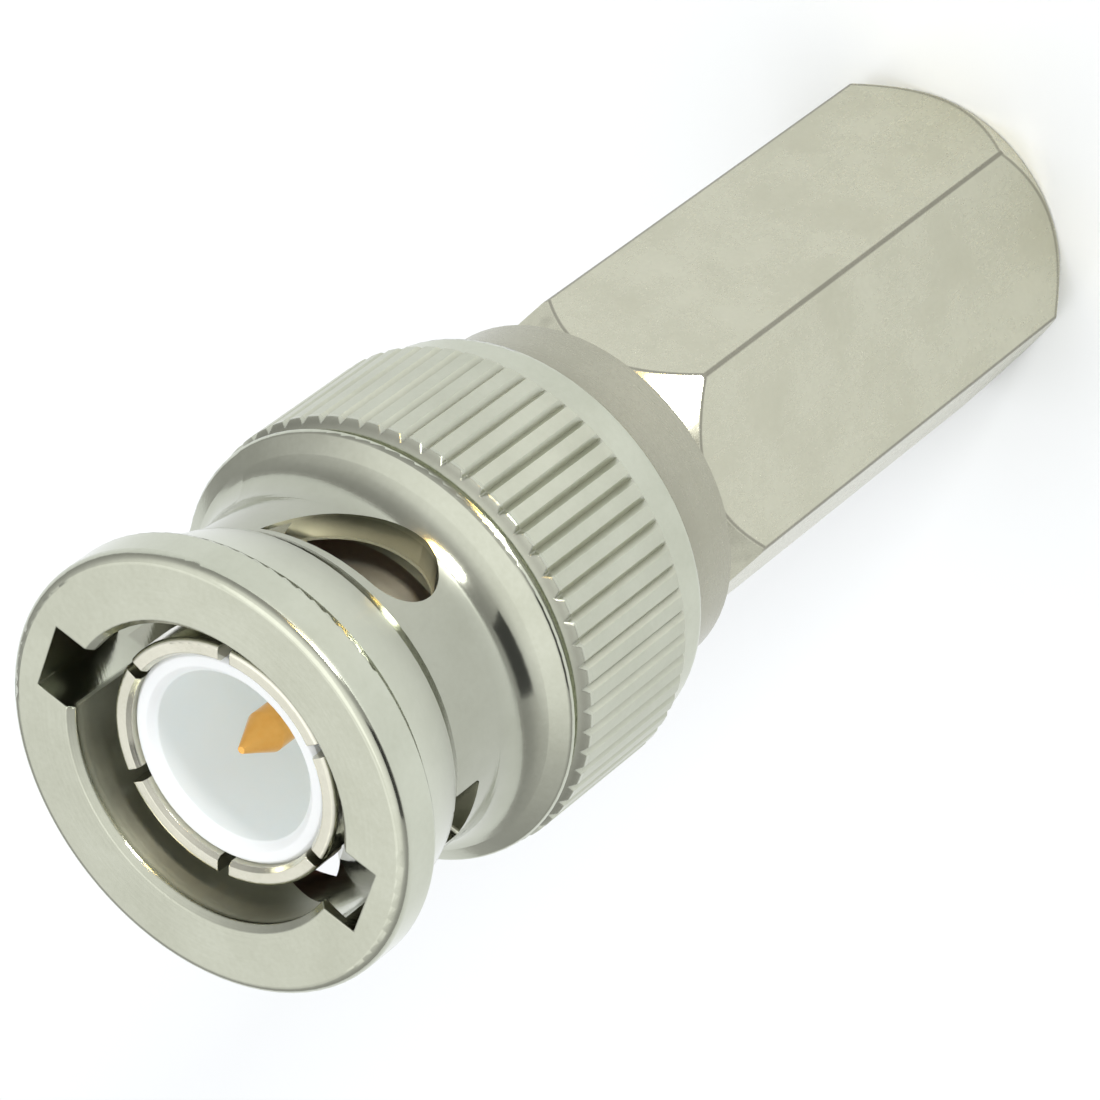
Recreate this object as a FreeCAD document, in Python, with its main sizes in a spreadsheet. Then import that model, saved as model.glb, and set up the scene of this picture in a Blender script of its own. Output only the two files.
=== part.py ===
import FreeCAD, Part
import math
import os
import Sketcher

# Male bayonet plug for coaxial cable, twist-on type, standing on the flat rear
# end of its hexagonal barrel: Z is the axis, Z = 0 the rear end, and the mating
# face points up. Millimetres. Every x_... size is a distance back from the
# mating face, and every a_... size is an angle about Z from +X.

DIMS = [
    # overall
    ("total_len", 39.2, "mating face to rear end"),
    # coupling sleeve, outside
    ("flange_rad", 7.25, "front flange"),
    ("flange_bev", 0.35, "rounding of the front edge of the flange"),
    ("x_flange", 1.55, "rear edge of the flange rim"),
    ("flange_rnd", 0.2, "rounding of the rear edge of the rim"),
    ("cone_rad", 6.75, "start of the cone behind the flange"),
    ("x_cone", 1.95, "start of the cone"),
    ("cone_rad_mid", 6.2, "cone, where it meets the blend"),
    ("x_cone_mid", 3.85, "cone, where it meets the blend"),
    ("neck_rad", 5.9, "neck"),
    ("x_neck", 4.35, "front end of the neck"),
    ("x_flare", 6.5, "rear end of the neck, start of the hollow flare"),
    ("flare_rnd", 1.7, "radius of the hollow flare"),
    ("x_flare_top", 7.893, "end of the hollow flare, start of the cone to the bead"),
    ("flare_top", 6.625, "end of the hollow flare"),
    ("bead_rnd", 0.2, "rounding of the front edge of the bead"),
    ("bead_rad", 7.2, "bead in front of the knurl"),
    ("x_bead", 8.45, "rear edge of the bead"),
    ("groove_rad", 6.85, "groove between bead and knurl"),
    ("x_groove", 8.8, "rear edge of the groove"),
    ("knurl_rad", 7.3, "tips of the knurl"),
    ("knurl_root", 7.13, "bottom of the knurl"),
    ("knurl_half", 0.26, "half the width of a knurl groove, just outside the tips"),
    ("knurl_chf", 0.3, "chamfer at both ends of the knurl"),
    ("x_knurl", 14.3, "rear end of the knurl"),
    ("knurl_count", 60, "ridges of the knurl"),
    ("band_rad", 6.95, "smooth band behind the knurl"),
    ("x_sleeve", 15.6, "rear face of the sleeve"),
    ("band_rnd", 0.35, "rounding of the rear edge of the sleeve"),
    # coupling sleeve, inside
    ("bore_rad", 4.93, "bore of the sleeve"),
    ("mouth_chf", 0.2, "chamfer of the bore's mouth"),
    ("lip_rad", 4.3, "bore of the inner lip"),
    ("x_lip", 13.4, "front face of the inner lip"),
    # key notches and cam slots
    ("a_notch", 27, "first key notch"),
    ("notch_wid", 2.5, "width of a key notch"),
    ("notch_rad", 6.1, "depth of a key notch, from the axis"),
    ("x_entry", 5.5, "rear end of the straight entry"),
    ("entry_rnd", 0.2, "corner rounding of the entry"),
    ("a_lock", -70, "locked position of the stud"),
    ("x_lock", 5.93, "locked position of the stud"),
    ("cam_hgt", 2.46, "height of the cam slot along the axis"),
    ("cam_rad", 5.75, "depth of the cam slot, from the axis, just inside the neck"),
    ("cam_pitch", 19.0, "advance of the cam slot in a full turn"),
    ("cam_rise", 4.75, "rise of the cam slot"),
    ("a_window", -57, "middle of the window where the cam slot breaks out of the neck"),
    ("seat_rad", 1.28, "round end of the window, where the stud locks"),
    ("seat_off", 1.33, "round end, from the middle of the window"),
    ("win_left", 2.55, "pointed end, from the middle of the window"),
    ("x_win_left", 4.5, "pointed end of the window"),
    ("win_arc", 4.45, "curve of the rear edge of the window"),
    # contact body
    ("x_contact", 0.9, "front end of the outer contact"),
    ("tip_rad", 4.07, "outer contact, raised front end"),
    ("x_tip", 2.1, "rear end of the raised front end"),
    ("tube_rad", 3.85, "outer contact, thinner tube behind the raised end"),
    ("tube_bore", 3.5, "bore of the outer contact"),
    ("slot_wid", 0.42, "slots of the outer contact"),
    ("x_slot", 6.6, "rear end of the slots"),
    ("x_root", 7.9, "front end of the thicker root of the contact"),
    ("root_rad", 4.0, "root of the contact, on which the gasket sits"),
    ("a_slot", 14.4, "first slot"),
    ("seal_rad", 4.85, "sealing flange"),
    ("x_seal", 10.4, "front face of the sealing flange"),
    ("x_seal_rear", 11.8, "rear face of the sealing flange"),
    ("spigot_rad", 4.1, "spigot inside the coupling's lip"),
    ("x_step", 16.9, "step in the spigot"),
    ("spigot_end", 3.6, "thin end of the spigot"),
    ("x_spigot", 20.8, "rear end of the spigot"),
    ("core_rad", 2.7, "bore behind the front insulator, clear of a 4.6 mm dielectric and its foil"),
    ("x_core", 9.6, "shoulder behind the front insulator"),
    # gasket and washers
    ("x_gasket", 9.3, "front face of the gasket"),
    ("gasket_rad", 4.75, "outside of the gasket"),
    ("x_wave", 11.83, "front of the wave washer"),
    ("wave_thk", 0.25, "thickness of the wave washer"),
    ("wave_hgt", 1.08, "free height of the wave washer"),
    ("wave_in", 4.25, "inside of the wave washer"),
    ("wave_out", 4.8, "outside of the wave washer"),
    ("x_thrust", 12.95, "front face of the thrust washer"),
    ("thrust_thk", 0.4, "thickness of the thrust washer"),
    ("thrust_in", 4.2, "inside of the thrust washer"),
    ("thrust_out", 4.84, "outside of the thrust washer"),
    # retaining collar
    ("x_collar", 15.7, "front face of the collar"),
    ("x_collar_rear", 18.6, "rear face of the collar"),
    ("collar_rad", 6.0, "outside of the collar"),
    ("collar_chf", 0.2, "chamfers of the collar"),
    # hexagonal barrel
    ("hex_af", 10.3, "width across the flats"),
    ("a_hex", 40, "first corner"),
    ("hex_face", 5.0, "front face of the barrel"),
    ("x_hex_chf", 20.45, "where the front chamfer leaves the corners"),
    ("hex_corner", 5.95, "corners"),
    ("hex_rnd", 0.2, "rounding of the long edges"),
    ("hex_rear", 5.1, "rear face of the barrel"),
    ("rear_chf", 1.5, "length of the rear chamfer"),
    ("x_seat", 21.0, "bottom of the spigot's seat"),
    ("thread_bore", 2.95, "crests of the inside thread"),
    ("thread_root", 3.35, "roots of the inside thread"),
    ("thread_pitch", 1.5, "pitch of the inside thread"),
    ("thread_len", 15.0, "length of the inside thread"),
    ("mouth_rad", 4.0, "countersink at the cable end"),
    ("mouth_len", 1.05, "length of the countersink"),
    # front insulator
    ("x_ins", 1.15, "front face of the front insulator"),
    ("cavity_rad", 2.8, "cavity of the front insulator"),
    ("cavity_lead", 0.25, "lead-in of the cavity"),
    ("x_cavity", 7.4, "bottom of the cavity"),
    ("ins_edge", 0.12, "edge break of the insulators"),
    # rear insulator
    ("x_bush", 10.25, "front face of the rear insulator"),
    ("x_bush_rear", 16.5, "rear face of the rear insulator"),
    # centre pin
    ("x_pin", 1.75, "tip of the pin"),
    ("pin_nose", 0.12, "flat of the tip"),
    ("pin_taper", 1.15, "length of the taper"),
    ("pin_rad", 0.675, "pin"),
    ("pin_flange", 1.6, "flange that holds the pin between the insulators"),
    ("shoulder_rad", 1.05, "shoulder"),
    ("stem_rad", 0.95, "stem behind the shoulder"),
    ("x_stem", 16.9, "rear end of the stem"),
    ("socket_rad", 0.45, "socket for the cable's conductor"),
    ("socket_len", 5.0, "depth of the socket"),
    ("socket_slot", 0.3, "slots of the socket"),
    ("socket_slot_len", 3.5, "length of those slots"),
]
D = {name: float(value) for name, value, note in DIMS}

doc = FreeCAD.newDocument("plug")
sheet = doc.addObject("Spreadsheet::Sheet", "Sheet")
for row, (name, value, note) in enumerate(DIMS, start=1):
    sheet.set("A%d" % row, name)
    sheet.set("B%d" % row, str(value))
    sheet.set("C%d" % row, note)
    sheet.setAlias("B%d" % row, name)
doc.recompute()

V = FreeCAD.Vector


def val(expr):
    """Number of an expression written with the sheet's names."""
    return float(number_of(expr))


def number_of(expr):
    """Sums, differences, products and quotients of names and numbers."""
    total = 0.0
    for sign, term in split_terms(expr):
        value = 1.0
        op = "*"
        for token in term.replace("*", " * ").replace("/", " / ").split():
            if token in "*/":
                op = token
                continue
            number = D[token] if token in D else float(token)
            value = value * number if op == "*" else value / number
        total += sign * value
    return total


def split_terms(expr):
    terms = []
    sign = 1
    for token in expr.replace("+", " + ").replace("-", " - ").split(" "):
        if token == "+":
            sign = 1
        elif token == "-":
            sign = -1
        elif token:
            if terms and terms[-1][2]:
                terms[-1] = [terms[-1][0], terms[-1][1] + " " + token, True]
            else:
                terms.append([sign, token, True])
            continue
        if terms:
            terms[-1][2] = False
    return [(item[0], item[1]) for item in terms]


def bound(expr):
    """The same expression with each name read from the sheet."""
    out = []
    for token in expr.replace("+", " + ").replace("-", " - ").replace("*", " * ").replace("/", " / ").split():
        out.append("Sheet." + token if token in D else token)
    return " ".join(out)


def plane(body, role):
    for feature in body.Origin.OriginFeatures:
        if feature.Role == role:
            return feature


def new_body(label):
    body = doc.addObject("PartDesign::Body", label)
    body.Label = label
    return body


def sketch_on(body, role, name):
    sk = body.newObject("Sketcher::SketchObject", name)
    sk.AttachmentSupport = [(plane(body, role), "")]
    sk.MapMode = "FlatFace"
    return sk


def fix(sk, geo, pos, horizontal, vertical):
    """Hold a point of the sketch at two distances from its origin."""
    for kind, expr, axis in (("DistanceX", horizontal, -2), ("DistanceY", vertical, -1)):
        number = val(expr)
        if abs(number) < 1e-9:
            sk.addConstraint(Sketcher.Constraint("PointOnObject", geo, pos, axis))
            continue
        index = sk.addConstraint(Sketcher.Constraint(kind, -1, 1, geo, pos, number))
        if any(token in D for token in bound(expr).replace("Sheet.", "").split()):
            sk.setExpression("Constraints[%d]" % index, bound(expr))


def outline(sk, points):
    """Closed outline through points (radius, height). A third item on a point is
    the radius of an arc that leads from it to the next point: positive turns to
    the left, negative to the right."""
    count = len(points)
    xy = [(val(p[0]), val(p[1])) for p in points]
    ends = []
    for i in range(count):
        a, b = xy[i], xy[(i + 1) % count]
        if len(points[i]) > 2:
            radius = val(points[i][2].lstrip("-"))
            left = not points[i][2].startswith("-")
            mx, my = (a[0] + b[0]) / 2, (a[1] + b[1]) / 2
            dx, dy = b[0] - a[0], b[1] - a[1]
            half = math.hypot(dx, dy) / 2
            rise = math.sqrt(max(radius * radius - half * half, 0.0))
            side = 1 if left else -1
            cx, cy = mx - side * dy / (2 * half) * rise, my + side * dx / (2 * half) * rise
            aa = math.atan2(a[1] - cy, a[0] - cx)
            ab = math.atan2(b[1] - cy, b[0] - cx)
            circle = Part.Circle(V(cx, cy, 0), V(0, 0, 1), radius)
            if left:
                if ab < aa:
                    ab += 2 * math.pi
                g = sk.addGeometry(Part.ArcOfCircle(circle, aa, ab), False)
                ends.append((g, 1, 2))
            else:
                if aa < ab:
                    aa += 2 * math.pi
                g = sk.addGeometry(Part.ArcOfCircle(circle, ab, aa), False)
                ends.append((g, 2, 1))
            index = sk.addConstraint(Sketcher.Constraint("Radius", g, radius))
            sk.setExpression("Constraints[%d]" % index, bound(points[i][2].lstrip("-")))
        else:
            g = sk.addGeometry(Part.LineSegment(V(a[0], a[1], 0), V(b[0], b[1], 0)), False)
            ends.append((g, 1, 2))
    for i in range(count):
        g, start, end = ends[i]
        h, start2, end2 = ends[(i + 1) % count]
        sk.addConstraint(Sketcher.Constraint("Coincident", g, end, h, start2))
        fix(sk, g, start, points[i][0], points[i][1])


def back(name):
    """Height of a distance back from the mating face."""
    return "total_len - " + name


def revolve(label, points):
    body = new_body(label)
    sk = sketch_on(body, "XZ_Plane", label + "_profile")
    outline(sk, points)
    rev = body.newObject("PartDesign::Revolution", label + "_turned")
    rev.Profile = sk
    rev.ReferenceAxis = (sk, ["V_Axis"])
    rev.Angle = 360
    doc.recompute()
    return body


def groove(body, name, points):
    before = body.Shape.Volume
    sk = sketch_on(body, "XZ_Plane", name + "_profile")
    outline(sk, points)
    cut = body.newObject("PartDesign::Groove", name)
    cut.Profile = sk
    cut.ReferenceAxis = (sk, ["V_Axis"])
    cut.Angle = 360
    doc.recompute()
    took(body, before, name)
    return cut


def took(body, before, name):
    left = body.Shape.Volume
    if not left < before - 1e-4:
        raise RuntimeError("%s removed nothing" % name)
    print("%-24s removed %.3f mm3" % (name, before - left))


def prism_cut(body, name, points, level, length, count=1, angle=0.0):
    """Upward pocket of an outline drawn across the axis, repeated about the axis."""
    before = body.Shape.Volume
    sk = sketch_on(body, "XY_Plane", name + "_outline")
    sk.AttachmentOffset = FreeCAD.Placement(V(0, 0, val(level)), FreeCAD.Rotation(V(0, 0, 1), val(angle) if isinstance(angle, str) else angle))
    sk.setExpression(".AttachmentOffset.Base.z", bound(level))
    outline(sk, points)
    cut = body.newObject("PartDesign::Pocket", name)
    cut.Profile = sk
    cut.Type = 0
    cut.Length = val(length)
    cut.setExpression("Length", bound(length))
    cut.Reversed = True
    doc.recompute()
    took(body, before, name)
    if count == 1:
        return cut
    before = body.Shape.Volume
    pattern = body.newObject("PartDesign::PolarPattern", name + "_round")
    pattern.Originals = [cut]
    pattern.Axis = (sk, ["N_Axis"])
    pattern.Angle = 360
    if isinstance(count, str):
        pattern.Occurrences = int(val(count))
        pattern.setExpression("Occurrences", bound(count))
    else:
        pattern.Occurrences = count
    body.Tip = pattern
    doc.recompute()
    took(body, before, name + "_round")
    return pattern


# ---------------------------------------------------------------- coupling sleeve
# Turned blank: flange, cone, neck, hollow flare, bead, groove, knurled grip and
# smooth band outside; plain bore and rear lip inside.
blank = revolve("sleeve_blank", [
    ("bore_rad", back("x_lip")),
    ("bore_rad", back("mouth_chf")),
    ("bore_rad + mouth_chf", "total_len"),
    ("flange_rad - flange_bev", "total_len", "-flange_bev"),
    ("flange_rad", "total_len - flange_bev"),
    ("flange_rad", "total_len - x_flange + flange_rnd", "-flange_rnd"),
    ("flange_rad - flange_rnd", back("x_flange")),
    ("cone_rad", back("x_cone")),
    ("cone_rad_mid", back("x_cone_mid")),
    ("neck_rad", back("x_neck")),
    ("neck_rad", back("x_flare"), "flare_rnd"),
    ("flare_top", back("x_flare_top")),
    ("bead_rad - 0.0853", "total_len - x_flare_top - 0.343", "-bead_rnd"),
    ("bead_rad", "total_len - x_flare_top - 0.507"),
    ("bead_rad - 0.05", back("x_bead")),
    ("groove_rad", back("x_bead")),
    ("groove_rad", back("x_groove")),
    ("knurl_rad - knurl_chf", back("x_groove")),
    ("knurl_rad", "total_len - x_groove - knurl_chf"),
    ("knurl_rad", "total_len - x_knurl + knurl_chf"),
    ("knurl_rad - knurl_chf", back("x_knurl")),
    ("band_rad", back("x_knurl")),
    ("band_rad", "total_len - x_sleeve + band_rnd", "-band_rnd"),
    ("band_rad - band_rnd", back("x_sleeve")),
    ("lip_rad + 0.15", back("x_sleeve")),
    ("lip_rad", "total_len - x_sleeve + 0.15"),
    ("lip_rad", back("x_lip")),
])
# Straight knurl: one V groove, repeated around the grip.
prism_cut(blank, "knurl_groove", [
    ("knurl_root", "0"),
    ("knurl_rad + 0.1", "0 - knurl_half"),
    ("knurl_rad + 0.1", "knurl_half"),
], back("x_knurl"), "x_knurl - x_groove", "knurl_count")

# Key notches and cam slots. The stud of the mating socket enters the straight
# entry, follows the helical cam and ends in the round seat.
cutters = []
for turn in (0.0, 180.0):
    tag = "a" if turn == 0.0 else "b"
    entry = doc.addObject("Part::Box", "entry_" + tag)
    entry.setExpression("Length", "Sheet.notch_rad - 4")
    entry.setExpression("Width", "Sheet.notch_wid")
    entry.setExpression("Height", "Sheet.x_entry + 1")
    spin = FreeCAD.Rotation(V(0, 0, 1), D["a_notch"] + turn)
    entry.Placement = FreeCAD.Placement(spin.multVec(V(4, -D["notch_wid"] / 2, D["total_len"] - D["x_entry"])), spin)
    doc.recompute()
    # the two rear corners of the entry are rounded, as an end mill leaves them
    edges = []
    for number, edge in enumerate(entry.Shape.Edges, start=1):
        middle = edge.BoundBox.Center
        along = abs(edge.Vertexes[0].Point.sub(edge.Vertexes[-1].Point).z)
        if along < 1e-6 and middle.z < D["total_len"] - 3 and abs(edge.Length - (D["notch_rad"] - 4)) < 1e-6:
            edges.append((number, D["entry_rnd"], D["entry_rnd"]))
    rounded = doc.addObject("Part::Fillet", "entry_rounded_" + tag)
    rounded.Base = entry
    rounded.Edges = edges

    helix = doc.addObject("Part::Helix", "cam_path_" + tag)
    helix.setExpression("Pitch", "Sheet.cam_pitch")
    helix.setExpression("Height", "Sheet.cam_rise")
    helix.setExpression("Radius", "Sheet.neck_rad")
    helix.LocalCoord = 0
    section = doc.addObject("Sketcher::SketchObject", "cam_section_" + tag)
    section.Placement = FreeCAD.Placement(V(0, 0, 0), FreeCAD.Rotation(V(1, 0, 0), 90))
    outline(section, [
        ("4.2", "0 - cam_hgt / 2"),
        ("cam_rad", "0 - cam_hgt / 2"),
        ("cam_rad", "cam_hgt / 2"),
        ("4.2", "cam_hgt / 2"),
    ])
    doc.recompute()
    sweep = doc.addObject("Part::Sweep", "cam_sweep_" + tag)
    sweep.Sections = [section]
    sweep.Spine = (helix, ["Edge1"])
    sweep.Solid = True
    sweep.Frenet = True
    sweep.Placement = FreeCAD.Placement(V(0, 0, D["total_len"] - D["x_lock"]), FreeCAD.Rotation(V(0, 0, 1), D["a_lock"] + turn))

    # where the slot breaks out of the neck: a round end for the locked stud, a
    # curved rear edge and a pointed end
    window = doc.addObject("Sketcher::SketchObject", "cam_window_" + tag)
    at = math.radians(D["a_window"] + turn)
    outward = V(math.cos(at), math.sin(at), 0)
    across = V(math.sin(at), -math.cos(at), 0)
    window.Placement = FreeCAD.Placement(outward * 7.2, FreeCAD.Rotation(across, V(0, 0, 1), outward * -1, "ZXY"))
    outline(window, [
        ("0 - win_left", back("x_win_left"), "win_arc"),
        ("seat_off", "total_len - x_lock - seat_rad", "seat_rad"),
        ("seat_off + seat_rad", back("x_lock"), "seat_rad"),
        ("seat_off", "total_len - x_lock + seat_rad"),
    ])
    doc.recompute()
    seat = doc.addObject("Part::Extrusion", "cam_seat_" + tag)
    seat.Base = window
    seat.DirMode = "Normal"
    seat.LengthFwd = 7.2 - 4.1
    seat.Solid = True
    cutters += [rounded, sweep, seat]
doc.recompute()
slots = doc.addObject("Part::MultiFuse", "cam_slots")
slots.Shapes = cutters
doc.recompute()
sleeve = doc.addObject("Part::Cut", "coupling_sleeve")
sleeve.Label = "coupling_sleeve"
sleeve.Base = blank
sleeve.Tool = slots
doc.recompute()
print("cam slots removed %.3f mm3 of %.3f" % (blank.Shape.Volume - sleeve.Shape.Volume, slots.Shape.Volume))

# ---------------------------------------------------------------- contact body
contact = revolve("contact_body", [
    ("tube_bore", back("x_core")),
    ("tube_bore", "total_len - x_contact - 0.15"),
    ("tube_bore + 0.12", back("x_contact")),
    ("tip_rad - 0.15", back("x_contact"), "-0.15"),
    ("tip_rad", "total_len - x_contact - 0.15"),
    ("tip_rad", back("x_tip")),
    ("tube_rad", "total_len - x_tip - 0.4"),
    ("tube_rad", back("x_root")),
    ("root_rad", "total_len - x_root - 0.3"),
    ("root_rad", back("x_seal")),
    ("seal_rad", back("x_seal")),
    ("seal_rad", back("x_seal_rear")),
    ("spigot_rad", back("x_seal_rear")),
    ("spigot_rad", back("x_step")),
    ("spigot_end", back("x_step")),
    ("spigot_end", "total_len - x_spigot + 0.2"),
    ("spigot_end - 0.2", back("x_spigot")),
    ("core_rad", back("x_spigot")),
    ("core_rad", back("x_core")),
])
prism_cut(contact, "contact_slot", [
    ("tube_bore - 0.6", "0 - slot_wid / 2"),
    ("tip_rad + 0.4", "0 - slot_wid / 2"),
    ("tip_rad + 0.4", "slot_wid / 2"),
    ("tube_bore - 0.6", "slot_wid / 2"),
], back("x_slot"), "x_slot", 6, "a_slot")

# ---------------------------------------------------------------- gasket
revolve("gasket", [
    ("root_rad", back("x_seal")),
    ("root_rad", back("x_gasket")),
    ("gasket_rad - 0.2", back("x_gasket")),
    ("gasket_rad", "total_len - x_gasket - 0.2"),
    ("gasket_rad", back("x_seal")),
])

# ---------------------------------------------------------------- insulators
revolve("front_insulator", [
    ("shoulder_rad", back("x_core")),
    ("shoulder_rad", back("x_cavity")),
    ("cavity_rad", back("x_cavity")),
    ("cavity_rad", "total_len - x_ins - cavity_lead"),
    ("cavity_rad + cavity_lead", back("x_ins")),
    ("tube_bore - ins_edge", back("x_ins")),
    ("tube_bore", "total_len - x_ins - ins_edge"),
    ("tube_bore", back("x_core")),
])
revolve("rear_insulator", [
    ("stem_rad", back("x_bush_rear")),
    ("stem_rad", back("x_bush")),
    ("core_rad - ins_edge", back("x_bush")),
    ("core_rad", "total_len - x_bush - ins_edge"),
    ("core_rad", back("x_bush_rear")),
])

# ---------------------------------------------------------------- centre pin
pin = revolve("centre_pin", [
    ("0", back("x_stem")),
    ("stem_rad", back("x_stem")),
    ("stem_rad", back("x_bush")),
    ("pin_flange", back("x_bush")),
    ("pin_flange", back("x_core")),
    ("shoulder_rad", back("x_core")),
    ("shoulder_rad", back("x_cavity")),
    ("pin_rad", back("x_cavity")),
    ("pin_rad", "total_len - x_pin - pin_taper"),
    ("pin_nose", back("x_pin")),
    ("0", back("x_pin")),
])
groove(pin, "pin_socket", [
    ("0", back("x_stem")),
    ("socket_rad + 0.15", back("x_stem")),
    ("socket_rad", "total_len - x_stem + 0.15"),
    ("socket_rad", "total_len - x_stem + socket_len"),
    ("0", "total_len - x_stem + socket_len"),
])
prism_cut(pin, "pin_slots", [
    ("0 - stem_rad - 0.2", "0 - socket_slot / 2"),
    ("stem_rad + 0.2", "0 - socket_slot / 2"),
    ("stem_rad + 0.2", "socket_slot / 2"),
    ("0 - stem_rad - 0.2", "socket_slot / 2"),
], back("x_stem"), "socket_slot_len")

# ---------------------------------------------------------------- washers
revolve("thrust_washer", [
    ("thrust_in", "total_len - x_thrust - thrust_thk"),
    ("thrust_out", "total_len - x_thrust - thrust_thk"),
    ("thrust_out", back("x_thrust")),
    ("thrust_in", back("x_thrust")),
])


def wavy(radius, lift):
    """Closed curve with three waves at one radius."""
    swing = (D["wave_hgt"] - D["wave_thk"]) / 2
    centre = D["total_len"] - D["x_wave"] - D["wave_hgt"] / 2
    points = []
    for step in range(36):
        a = 2 * math.pi * step / 36
        points.append(V(radius * math.cos(a), radius * math.sin(a), centre + lift + swing * math.cos(3 * a)))
    curve = Part.BSplineCurve()
    curve.interpolate(points, PeriodicFlag=True)
    return curve.toShape()


# The wave washer is a flat ring pressed into three waves: four ruled faces
# between wavy edges, closed into a solid.
half = D["wave_thk"] / 2
low_in, low_out = wavy(D["wave_in"], -half), wavy(D["wave_out"], -half)
top_in, top_out = wavy(D["wave_in"], half), wavy(D["wave_out"], half)
faces = [Part.makeRuledSurface(low_in, low_out), Part.makeRuledSurface(top_in, top_out),
         Part.makeRuledSurface(low_in, top_in), Part.makeRuledSurface(low_out, top_out)]
skin = Part.makeShell(faces)
skin.sewShape()
solid = Part.makeSolid(skin)
if solid.Volume < 0:
    solid.reverse()
wave = doc.addObject("Part::Feature", "wave_washer")
wave.Label = "wave_washer"
wave.Shape = solid
wave.Placement = FreeCAD.Placement(V(0, 0, 0), FreeCAD.Rotation())

# ---------------------------------------------------------------- retaining collar
revolve("retaining_collar", [
    ("spigot_rad", back("x_step")),
    ("spigot_rad", back("x_collar")),
    ("collar_rad - collar_chf", back("x_collar")),
    ("collar_rad", "total_len - x_collar - collar_chf"),
    ("collar_rad", "total_len - x_collar_rear + collar_chf"),
    ("collar_rad - collar_chf", back("x_collar_rear")),
    ("spigot_end", back("x_collar_rear")),
    ("spigot_end", back("x_step")),
])

# ---------------------------------------------------------------- hexagonal barrel
barrel = new_body("barrel_blank")
sk = sketch_on(barrel, "XY_Plane", "hexagon")
ring = D["hex_af"] / math.sqrt(3)
corners = []
for k in range(6):
    a = math.radians(D["a_hex"] + 60 * k)
    corners.append(V(ring * math.cos(a), ring * math.sin(a), 0))
for k in range(6):
    sk.addGeometry(Part.LineSegment(corners[k], corners[(k + 1) % 6]), False)
for k in range(6):
    sk.addConstraint(Sketcher.Constraint("Coincident", k, 2, (k + 1) % 6, 1))
    for kind, number, wave in (("DistanceX", corners[k].x, "cos"), ("DistanceY", corners[k].y, "sin")):
        index = sk.addConstraint(Sketcher.Constraint(kind, -1, 1, k, 1, number))
        sk.setExpression("Constraints[%d]" % index, "Sheet.hex_af / sqrt(3) * %s((Sheet.a_hex + %d) * 1 deg)" % (wave, 60 * k))
pad = barrel.newObject("PartDesign::Pad", "hexagon_pad")
pad.Profile = sk
pad.Type = 0
pad.Length = D["total_len"] - D["x_collar_rear"]
pad.setExpression("Length", "Sheet.total_len - Sheet.x_collar_rear")
doc.recompute()
long_edges = []
for number, edge in enumerate(pad.Shape.Edges, start=1):
    if abs(edge.Vertexes[0].Z - edge.Vertexes[-1].Z) > 5:
        long_edges.append("Edge%d" % number)
rounding = barrel.newObject("PartDesign::Fillet", "long_edges_rounded")
rounding.Base = (pad, long_edges)
rounding.Radius = D["hex_rnd"]
rounding.setExpression("Radius", "Sheet.hex_rnd")
doc.recompute()
groove(barrel, "front_chamfer", [
    ("hex_face", back("x_collar_rear")),
    ("hex_corner", back("x_hex_chf")),
    ("hex_corner + 1", back("x_hex_chf")),
    ("hex_corner + 1", "total_len - x_collar_rear + 0.5"),
    ("hex_face", "total_len - x_collar_rear + 0.5"),
])
groove(barrel, "rear_chamfer", [
    ("hex_rear", "0"),
    ("hex_rear", "0 - 0.5"),
    ("hex_corner + 1", "0 - 0.5"),
    ("hex_corner + 1", "rear_chf + 0.3"),
    ("hex_corner", "rear_chf"),
])
groove(barrel, "barrel_bore", [
    ("0", "0 - 0.5"),
    ("mouth_rad", "0 - 0.5"),
    ("mouth_rad", "0"),
    ("thread_bore", "mouth_len"),
    ("thread_bore", back("x_seat")),
    ("spigot_end", back("x_seat")),
    ("spigot_end", "total_len - x_collar_rear + 0.5"),
    ("0", "total_len - x_collar_rear + 0.5"),
])

# Coarse inside thread that bites the cable's jacket: a V section swept along a
# helix from the cable end inwards.
path = doc.addObject("Part::Helix", "thread_path")
path.setExpression("Pitch", "Sheet.thread_pitch")
path.setExpression("Height", "Sheet.thread_len")
path.setExpression("Radius", "Sheet.thread_bore")
path.LocalCoord = 0
vee = doc.addObject("Sketcher::SketchObject", "thread_section")
vee.Placement = FreeCAD.Placement(V(0, 0, 0), FreeCAD.Rotation(V(1, 0, 0), 90))
outline(vee, [
    ("thread_bore - 0.3", "0 - 0.6"),
    ("thread_root", "0 - 0.1"),
    ("thread_root", "0.1"),
    ("thread_bore - 0.3", "0.6"),
])
doc.recompute()
thread = doc.addObject("Part::Sweep", "thread_sweep")
thread.Sections = [vee]
thread.Spine = (path, ["Edge%d" % (n + 1) for n in range(len(path.Shape.Edges))])
thread.Solid = True
thread.Frenet = True
thread.Placement = FreeCAD.Placement(V(0, 0, 0.2), FreeCAD.Rotation())
doc.recompute()
hexbarrel = doc.addObject("Part::Cut", "hex_barrel")
hexbarrel.Label = "hex_barrel"
hexbarrel.Base = barrel
hexbarrel.Tool = thread
doc.recompute()
print("thread removed %.3f mm3" % (barrel.Shape.Volume - hexbarrel.Shape.Volume))

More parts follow.
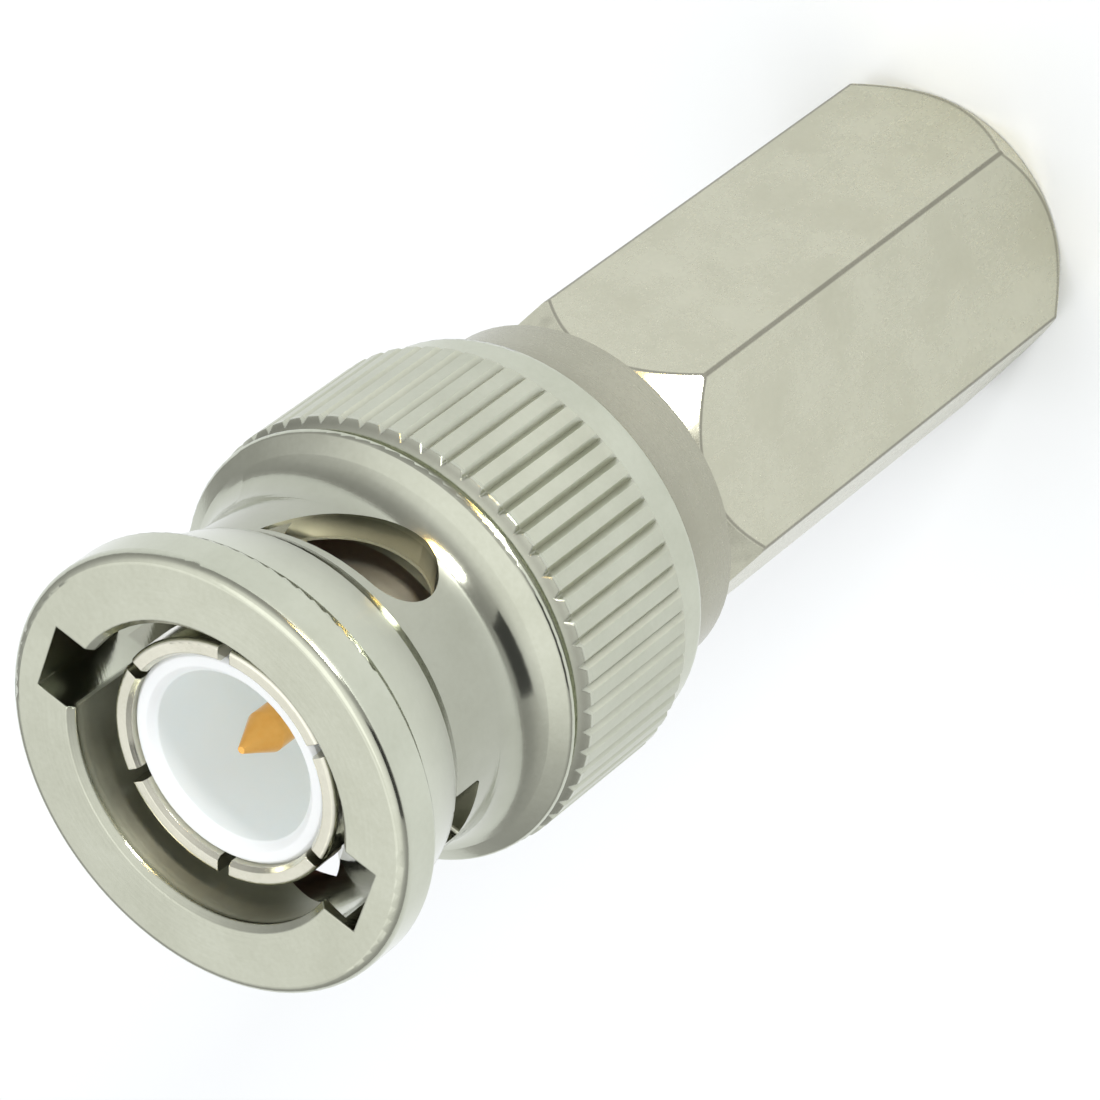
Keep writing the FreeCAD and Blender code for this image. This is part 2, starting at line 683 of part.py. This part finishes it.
# ---------------------------------------------------------------- check and write
NODES = ["coupling_sleeve", "contact_body", "gasket", "front_insulator", "rear_insulator",
         "centre_pin", "thrust_washer", "wave_washer", "retaining_collar", "hex_barrel"]
doc.recompute()
for obj in doc.Objects:
    if "Invalid" in obj.State or "Error" in obj.State:
        raise RuntimeError("%s failed: %s" % (obj.Name, obj.State))
os.makedirs("parts", exist_ok=True)
for name in NODES:
    obj = doc.getObjectsByLabel(name)[0]
    shape = obj.Shape
    if shape.isNull() or not shape.isValid():
        raise RuntimeError(name + " is not a valid shape")
    if len(shape.Solids) != 1:
        raise RuntimeError("%s has %d solids" % (name, len(shape.Solids)))
    box = shape.BoundBox
    print("%-18s volume %9.3f  z %.3f to %.3f  width %.3f" % (name, shape.Volume, box.ZMin, box.ZMax, box.XLength))
    shape.exportStep("parts/%s.step" % name)
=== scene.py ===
import bpy
import math
from mathutils import Matrix, Vector


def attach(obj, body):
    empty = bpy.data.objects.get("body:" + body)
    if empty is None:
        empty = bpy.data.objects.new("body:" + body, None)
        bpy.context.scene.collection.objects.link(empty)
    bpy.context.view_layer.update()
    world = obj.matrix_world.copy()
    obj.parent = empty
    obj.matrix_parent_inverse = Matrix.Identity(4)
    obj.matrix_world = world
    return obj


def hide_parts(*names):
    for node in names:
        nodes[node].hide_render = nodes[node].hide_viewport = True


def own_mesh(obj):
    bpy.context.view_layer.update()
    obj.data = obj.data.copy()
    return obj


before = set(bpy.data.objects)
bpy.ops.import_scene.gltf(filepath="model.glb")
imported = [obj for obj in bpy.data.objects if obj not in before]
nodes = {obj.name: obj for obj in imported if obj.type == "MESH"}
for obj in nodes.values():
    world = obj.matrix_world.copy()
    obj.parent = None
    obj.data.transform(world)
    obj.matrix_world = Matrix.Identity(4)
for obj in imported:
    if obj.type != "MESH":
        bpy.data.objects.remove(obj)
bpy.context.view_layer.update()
scene = bpy.context.scene
scene.view_settings.view_transform = "Standard"
scene.view_settings.look = "None"
MM = 0.001

# ---------------------------------------------------------------- camera
# Rows: the image's right, its downward direction and the view direction.
RIGHT = Vector((-0.56028186, -0.59325069, -0.57804658))
DOWN = Vector((-0.8261653, 0.35015842, 0.44140681))
AHEAD = Vector((-0.05945702, 0.72487426, -0.68631055))
AWAY = 185.4
SIDE, DROP = 1.33, -2.05
spot = Vector((0, 0, 19.6)) - RIGHT * SIDE - DOWN * DROP - AHEAD * AWAY
camera = bpy.data.cameras.new("camera")
camera.sensor_width = 36.0
camera.lens = 5951.0 * 36.0 / 1100.0
camera.clip_start, camera.clip_end = 0.01, 20.0
eye = bpy.data.objects.new("camera", camera)
scene.collection.objects.link(eye)
turn = Matrix((RIGHT, -DOWN, -AHEAD)).transposed().to_4x4()
eye.matrix_world = Matrix.Translation(spot * MM) @ turn
scene.camera = eye


# ---------------------------------------------------------------- node helpers
def tree_of(name):
    mat = bpy.data.materials.new(name)
    mat.use_nodes = True
    tree = mat.node_tree
    tree.nodes.clear()
    out = tree.nodes.new("ShaderNodeOutputMaterial")
    shader = tree.nodes.new("ShaderNodeBsdfPrincipled")
    tree.links.new(shader.outputs[0], out.inputs["Surface"])
    return mat, tree, shader


def math_node(tree, op, a, b=None, c=None):
    n = tree.nodes.new("ShaderNodeMath")
    n.operation = op
    for i, v in enumerate((a, b, c)):
        if v is None:
            continue
        if isinstance(v, (int, float)):
            n.inputs[i].default_value = v
        else:
            tree.links.new(v, n.inputs[i])
    return n.outputs[0]


def remap(tree, value, low, high, to_low, to_high):
    n = tree.nodes.new("ShaderNodeMapRange")
    n.inputs["From Min"].default_value, n.inputs["From Max"].default_value = low, high
    n.inputs["To Min"].default_value, n.inputs["To Max"].default_value = to_low, to_high
    tree.links.new(value, n.inputs["Value"])
    return n.outputs[0]


def noise(tree, vector, scale, detail=3.0, rough=0.5, distortion=0.0):
    n = tree.nodes.new("ShaderNodeTexNoise")
    n.inputs["Scale"].default_value = scale
    n.inputs["Detail"].default_value = detail
    n.inputs["Roughness"].default_value = rough
    n.inputs["Distortion"].default_value = distortion
    tree.links.new(vector, n.inputs["Vector"])
    return n.outputs["Fac"]


def noise_line(tree, value, scale, detail=3.0):
    n = tree.nodes.new("ShaderNodeTexNoise")
    n.noise_dimensions = "1D"
    n.inputs["Scale"].default_value = scale
    n.inputs["Detail"].default_value = detail
    tree.links.new(value, n.inputs["W"])
    return n.outputs["Fac"]


def stretched(tree, coords, scale):
    n = tree.nodes.new("ShaderNodeMapping")
    n.inputs["Scale"].default_value = scale
    tree.links.new(coords, n.inputs["Vector"])
    return n.outputs[0]


def blend(tree, fac, a, b):
    n = tree.nodes.new("ShaderNodeMix")
    n.data_type = "RGBA"
    tree.links.new(fac, n.inputs["Factor"])
    n.inputs[6].default_value = (*a, 1)
    n.inputs[7].default_value = (*b, 1)
    return n.outputs[2]


def bump(tree, height, strength, distance, normal=None):
    n = tree.nodes.new("ShaderNodeBump")
    n.inputs["Strength"].default_value = strength
    n.inputs["Distance"].default_value = distance
    tree.links.new(height, n.inputs["Height"])
    if normal is not None:
        tree.links.new(normal, n.inputs["Normal"])
    return n.outputs[0]


def soft_edges(tree, radius):
    n = tree.nodes.new("ShaderNodeBevel")
    n.samples = 4
    if isinstance(radius, float):
        n.inputs["Radius"].default_value = radius
    else:
        tree.links.new(radius, n.inputs["Radius"])
    return n.outputs[0]


def band(tree, value, low, high, soft):
    """1 where value is between low and high, with soft sides."""
    return math_node(tree, "MULTIPLY", remap(tree, value, low - soft, low + soft, 0.0, 1.0), remap(tree, value, high - soft, high + soft, 1.0, 0.0))


def metal(name, light, dark, rough, spread, grain, edge=0.00005, mark=1.0, painted_dark=None, painted_dark_colour=(0.13, 0.12, 0.10), matte=None):
    """Plated metal. grain is "turned" for rings round the axis, "drawn" for
    lines along it, and "plain" for neither. painted_dark says how far the colour
    is painted toward painted_dark_colour, as painted shade or a painted dark
    reflection, at a distance from the axis and a height, and matte how much
    rougher it is."""
    mat, tree, shader = tree_of(name)
    coords = tree.nodes.new("ShaderNodeTexCoord").outputs["Object"]
    shader.inputs["Metallic"].default_value = 1.0
    cloud = noise(tree, coords, 420.0, 4.0, 0.55)
    fine = noise(tree, coords, 5200.0, 3.0, 0.6)
    parts = tree.nodes.new("ShaderNodeSeparateXYZ")
    tree.links.new(coords, parts.inputs[0])
    x, y, z = parts.outputs[0], parts.outputs[1], parts.outputs[2]
    radius = math_node(tree, "SQRT", math_node(tree, "ADD", math_node(tree, "MULTIPLY", x, x), math_node(tree, "MULTIPLY", y, y)))
    if grain == "turned":
        along = math_node(tree, "ADD", math_node(tree, "MULTIPLY", radius, 0.83), z)
        lines = noise_line(tree, along, 9000.0, 4.0)
    elif grain == "drawn":
        lines = noise(tree, stretched(tree, coords, (1.0, 1.0, 0.03)), 7000.0, 4.0, 0.6)
    else:
        lines = noise(tree, coords, 2600.0, 3.0, 0.5)
    colour = blend(tree, remap(tree, math_node(tree, "ADD", math_node(tree, "MULTIPLY", cloud, 0.7), math_node(tree, "MULTIPLY", fine, 0.3)), 0.32, 0.68, 0.0, 1.0), dark, light)
    # Painted shade and painted dark reflection: the colour is mixed toward a dark colour by the mask.
    if painted_dark is not None:
        darkened = tree.nodes.new("ShaderNodeMix")
        darkened.data_type = "RGBA"
        tree.links.new(painted_dark(tree, radius, z), darkened.inputs["Factor"])
        tree.links.new(colour, darkened.inputs[6])
        darkened.inputs[7].default_value = (*painted_dark_colour, 1)
        colour = darkened.outputs[2]
    tree.links.new(colour, shader.inputs["Base Color"])
    mixed = math_node(tree, "ADD", math_node(tree, "MULTIPLY", cloud, 0.45), math_node(tree, "ADD", math_node(tree, "MULTIPLY", fine, 0.25), math_node(tree, "MULTIPLY", lines, 0.3)))
    finish = remap(tree, mixed, 0.3, 0.7, rough - spread, rough + spread)
    if matte is not None:
        finish = math_node(tree, "ADD", finish, matte(tree, radius, z))
    tree.links.new(finish, shader.inputs["Roughness"])
    if callable(edge):
        edge = edge(tree, radius, z)
    base = soft_edges(tree, edge) if edge else None
    first = bump(tree, lines, 0.35 * mark, 0.000004, base)
    second = bump(tree, fine, 0.3 * mark, 0.000003, first)
    tree.links.new(second, shader.inputs["Normal"])
    return mat


def sleeve_painted_shade(tree, radius, z):
    """Painted shade: darker colour on the walls of the cam windows, and a little in the knurl's grooves and on the
    neck.
    """
    window = math_node(tree, "MULTIPLY", band(tree, radius, 0.00500, 0.00584, 0.00003), band(tree, z, 0.0314, 0.0356, 0.0002))
    knurl = math_node(tree, "MULTIPLY", remap(tree, radius, 0.00714, 0.00728, 0.34, 0.08), band(tree, z, 0.02505, 0.0303, 0.0001))
    neck = math_node(tree, "MULTIPLY", remap(tree, radius, 0.0061, 0.0068, 0.33, 0.0), band(tree, z, 0.0318, 0.0364, 0.0008))
    return math_node(tree, "MAXIMUM", math_node(tree, "MULTIPLY", window, 0.5), math_node(tree, "MAXIMUM", knurl, neck))


def collar_painted_shade(tree, radius, z):
    """Painted shade: darker all over, and darkest close under the sleeve."""
    return remap(tree, z, 0.0219, 0.0234, 0.36, 0.50)


def barrel_painted_reflection(tree, radius, z):
    """Painted dark reflection: a thin dark line along the six long edges, and where the flats end at both chamfers."""
    edges = math_node(tree, "MULTIPLY", remap(tree, radius, 0.005892, 0.005910, 0.0, 0.66), band(tree, z, 0.0012, 0.0189, 0.0003))
    front = math_node(tree, "SUBTRACT", math_node(tree, "ADD", radius, math_node(tree, "MULTIPLY", z, 0.51351)), 0.0155784)
    rear = math_node(tree, "SUBTRACT", math_node(tree, "SUBTRACT", radius, math_node(tree, "MULTIPLY", z, 0.56667)), 0.0051)
    rims = math_node(tree, "MAXIMUM", math_node(tree, "MULTIPLY", band(tree, front, -0.00009, -0.00002, 0.000015), 0.62),
                     math_node(tree, "MULTIPLY", band(tree, rear, -0.00009, -0.00002, 0.000015), 0.5))
    return math_node(tree, "MAXIMUM", edges, rims)


def sleeve_matte(tree, radius, z):
    """The bore is left as bored, and the knurl as rolled, rougher than the polished outside."""
    bore = math_node(tree, "MULTIPLY", remap(tree, radius, 0.00497, 0.00510, 0.34, 0.0), remap(tree, z, 0.0388, 0.0390, 1.0, 0.0))
    knurl = math_node(tree, "MULTIPLY", remap(tree, radius, 0.00702, 0.00710, 0.0, 0.22), band(tree, z, 0.02505, 0.0300, 0.00005))
    return math_node(tree, "ADD", bore, knurl)


def sleeve_edge(tree, radius, z):
    """Broken edges at the front ends of the knurl's ridges, and round the mouth and notches."""
    ridges = band(tree, z, 0.0299, 0.0306, 0.00005)
    mouth = math_node(tree, "MULTIPLY", remap(tree, radius, 0.0063, 0.0066, 1.0, 0.0), band(tree, z, 0.0384, 0.0395, 0.00005))
    return math_node(tree, "MULTIPLY", math_node(tree, "MAXIMUM", ridges, mouth), 0.00007)


def contact_matte(tree, radius, z):
    """Rougher behind the polished front end."""
    return remap(tree, z, 0.0364, 0.0371, 0.30, 0.0)


WARM_LIGHT, WARM_DARK = (0.566, 0.560, 0.452), (0.498, 0.490, 0.386)
COOL_LIGHT, COOL_DARK = (0.556, 0.572, 0.478), (0.486, 0.500, 0.408)
sleeve_mat = metal("nickel_turned", COOL_LIGHT, COOL_DARK, 0.13, 0.035, "turned", sleeve_edge, painted_dark=sleeve_painted_shade, matte=sleeve_matte)
contact_mat = metal("nickel_contact", (0.70, 0.69, 0.59), (0.61, 0.60, 0.50), 0.17, 0.04, "turned", 0.00004, matte=contact_matte)
barrel_mat = metal("nickel_drawn", WARM_LIGHT, WARM_DARK, 0.27, 0.06, "drawn", 0.0, mark=1.6, painted_dark=barrel_painted_reflection)
collar_mat = metal("nickel_collar", WARM_LIGHT, WARM_DARK, 0.27, 0.05, "turned", 0.0, painted_dark=collar_painted_shade)
gold_mat = metal("gold", (1.0, 0.55, 0.16), (0.90, 0.42, 0.09), 0.2, 0.04, "turned", 0.00003)
steel_mat = metal("spring_steel", (0.60, 0.60, 0.60), (0.50, 0.50, 0.51), 0.3, 0.05, "plain", 0.00003)


def plastic(name, light, dark, rough, milky, painted_glow=0.0):
    """Smooth plastic. painted_glow is emitted light painted inside its own cavity,
    standing in for the light that a milky plastic passes on, and is 0 on its outside."""
    mat, tree, shader = tree_of(name)
    coords = tree.nodes.new("ShaderNodeTexCoord").outputs["Object"]
    if painted_glow:
        parts = tree.nodes.new("ShaderNodeSeparateXYZ")
        tree.links.new(coords, parts.inputs[0])
        x, y, z = parts.outputs[0], parts.outputs[1], parts.outputs[2]
        radius = math_node(tree, "SQRT", math_node(tree, "ADD", math_node(tree, "MULTIPLY", x, x), math_node(tree, "MULTIPLY", y, y)))
        # Painted glow: cyan emission painted inside the insulator's cavity only.
        inside = math_node(tree, "MULTIPLY", remap(tree, radius, 0.00281, 0.00290, painted_glow, 0.0), band(tree, z, 0.0312, 0.0378, 0.0004))
        shader.inputs["Emission Color"].default_value = (0.62, 0.95, 1.0, 1)
        tree.links.new(inside, shader.inputs["Emission Strength"])
    cloud = noise(tree, coords, 500.0, 3.0, 0.5)
    fine = noise(tree, coords, 6000.0, 3.0, 0.6)
    tree.links.new(blend(tree, remap(tree, cloud, 0.3, 0.7, 0.0, 1.0), dark, light), shader.inputs["Base Color"])
    tree.links.new(remap(tree, fine, 0.3, 0.7, rough - 0.05, rough + 0.05), shader.inputs["Roughness"])
    if milky:
        shader.inputs["Subsurface Weight"].default_value = milky
        shader.inputs["Subsurface Scale"].default_value = 0.0007
        shader.inputs["Subsurface Radius"].default_value = (1.0, 0.95, 0.9)
    tree.links.new(bump(tree, fine, 0.25, 0.000006, soft_edges(tree, 0.00008)), shader.inputs["Normal"])
    return mat


white_mat = plastic("milky_white", (0.945, 0.975, 0.985), (0.915, 0.955, 0.972), 0.34, 0.35, painted_glow=0.085)
silicone_mat = plastic("silicone_red", (0.72, 0.27, 0.22), (0.60, 0.20, 0.16), 0.26, 0.0)

CHOSEN = {
    "coupling_sleeve": sleeve_mat, "contact_body": contact_mat, "gasket": silicone_mat,
    "front_insulator": white_mat, "rear_insulator": white_mat, "centre_pin": gold_mat,
    "thrust_washer": steel_mat, "wave_washer": steel_mat,
    "retaining_collar": collar_mat, "hex_barrel": barrel_mat,
}
for name, mat in CHOSEN.items():
    obj = nodes[name]
    if not obj.material_slots:
        obj.data.materials.append(mat)
    for slot in obj.material_slots:
        slot.material = mat


# ---------------------------------------------------------------- wave washer
def wave_ring(name):
    """Flat spring ring pressed into three waves, with its edges broken."""
    inner, outer, half, swing, centre, soft = 4.25, 4.8, 0.125, 0.415, 26.83, 0.03
    section = [(inner + soft, -half), (outer - soft, -half), (outer, -half + soft), (outer, half - soft),
               (outer - soft, half), (inner + soft, half), (inner, half - soft), (inner, -half + soft)]
    around, n = 144, len(section)
    verts, faces = [], []
    for i in range(around):
        a = 2 * math.pi * i / around
        for r, h in section:
            verts.append((r * math.cos(a) * MM, r * math.sin(a) * MM, (centre + swing * math.cos(3 * a) + h) * MM))
        after = (i + 1) % around
        for j in range(n):
            k = (j + 1) % n
            faces.append((i * n + j, after * n + j, after * n + k, i * n + k))
    mesh = bpy.data.meshes.new(name)
    mesh.from_pydata(verts, [], faces)
    obj = bpy.data.objects.new(name, mesh)
    scene.collection.objects.link(obj)
    return obj


spring = wave_ring("wave_spring")
spring.data.materials.append(steel_mat)
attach(spring, "body")
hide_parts("wave_washer")
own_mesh(spring)

# ---------------------------------------------------------------- floor
floor_mesh = bpy.data.meshes.new("floor")
ring, sides, level = 4.0, 64, -0.00003
verts = [(ring * math.cos(2 * math.pi * i / sides), ring * math.sin(2 * math.pi * i / sides), level) for i in range(sides)]
floor_mesh.from_pydata(verts, [], [list(range(sides))])
floor = bpy.data.objects.new("floor", floor_mesh)
scene.collection.objects.link(floor)
mat, tree, shader = tree_of("floor")
shader.inputs["Base Color"].default_value = (0.915, 0.934, 0.948, 1)
shader.inputs["Roughness"].default_value = 0.6
shader.inputs["Specular IOR Level"].default_value = 0.2
floor_mesh.materials.append(mat)


# ---------------------------------------------------------------- light
def panel(name, direction, distance, width, height, power, colour=(1, 1, 1)):
    """Soft rectangular light that faces the object."""
    light = bpy.data.lights.new(name, "AREA")
    light.shape = "RECTANGLE"
    light.size, light.size_y = width, height
    light.energy = power
    light.color = colour
    obj = bpy.data.objects.new(name, light)
    scene.collection.objects.link(obj)
    d = Vector(direction).normalized()
    obj.location = Vector((0, 0, 0.02)) + d * distance
    obj.rotation_mode = "QUATERNION"
    obj.rotation_quaternion = (-d).to_track_quat("-Z", "Y")
    obj.visible_camera = False
    return obj


panel("key", (0.24, -0.95, 0.19), 0.6, 0.13, 0.13, 2.6)
warm = panel("key_warm", (0.44, -0.87, 0.20), 0.6, 0.06, 0.10, 0.8, (1.0, 0.66, 0.20))
warm.visible_diffuse = False
panel("top", (0.1, 0.1, 1.0), 0.9, 0.6, 0.6, 0.5)
panel("rear", (-0.06, 0.72, 0.69), 0.9, 0.62, 0.5, 0.25)


def card(name, direction, distance, width, height, grey):
    """Dark studio card, which only shows in reflections."""
    mesh = bpy.data.meshes.new(name)
    w, h = width / 2, height / 2
    mesh.from_pydata([(-w, -h, 0), (w, -h, 0), (w, h, 0), (-w, h, 0)], [], [(0, 1, 2, 3)])
    obj = bpy.data.objects.new(name, mesh)
    scene.collection.objects.link(obj)
    d = Vector(direction).normalized()
    obj.location = Vector((0, 0, 0.025)) + d * distance
    obj.rotation_mode = "QUATERNION"
    obj.rotation_quaternion = d.to_track_quat("Z", "Y")
    obj.visible_camera = False
    obj.visible_shadow = False
    obj.visible_diffuse = False
    mat, tree, shader = tree_of(name)
    shader.inputs["Base Color"].default_value = (grey, grey, grey, 1)
    shader.inputs["Roughness"].default_value = 0.9
    mesh.materials.append(mat)


card("card_left", (-0.60, -0.70, 0.38), 0.28, 0.20, 0.13, 0.06)

world = bpy.data.worlds.new("studio")
scene.world = world
world.use_nodes = True
tree = world.node_tree
tree.nodes.clear()
out = tree.nodes.new("ShaderNodeOutputWorld")
back = tree.nodes.new("ShaderNodeBackground")
tree.links.new(back.outputs[0], out.inputs["Surface"])
way = tree.nodes.new("ShaderNodeTexCoord").outputs["Generated"]
parts = tree.nodes.new("ShaderNodeSeparateXYZ")
tree.links.new(way, parts.inputs[0])
ramp = tree.nodes.new("ShaderNodeValToRGB")
tree.links.new(parts.outputs[2], ramp.inputs[0])
stops = [(0.0, 0.55), (0.12, 0.45), (0.3, 0.5), (0.55, 0.7), (0.75, 1.12), (1.0, 1.45)]
most = stops[-1][1]
ramp.color_ramp.elements[0].position, ramp.color_ramp.elements[1].position = stops[0][0], stops[-1][0]
ramp.color_ramp.elements[0].color = (*[stops[0][1] / most] * 3, 1)
ramp.color_ramp.elements[1].color = (1, 1, 1, 1)
for at, grey in stops[1:-1]:
    ramp.color_ramp.elements.new(at).color = (*[grey / most] * 3, 1)
tree.links.new(ramp.outputs[0], back.inputs["Color"])
back.inputs["Strength"].default_value = most
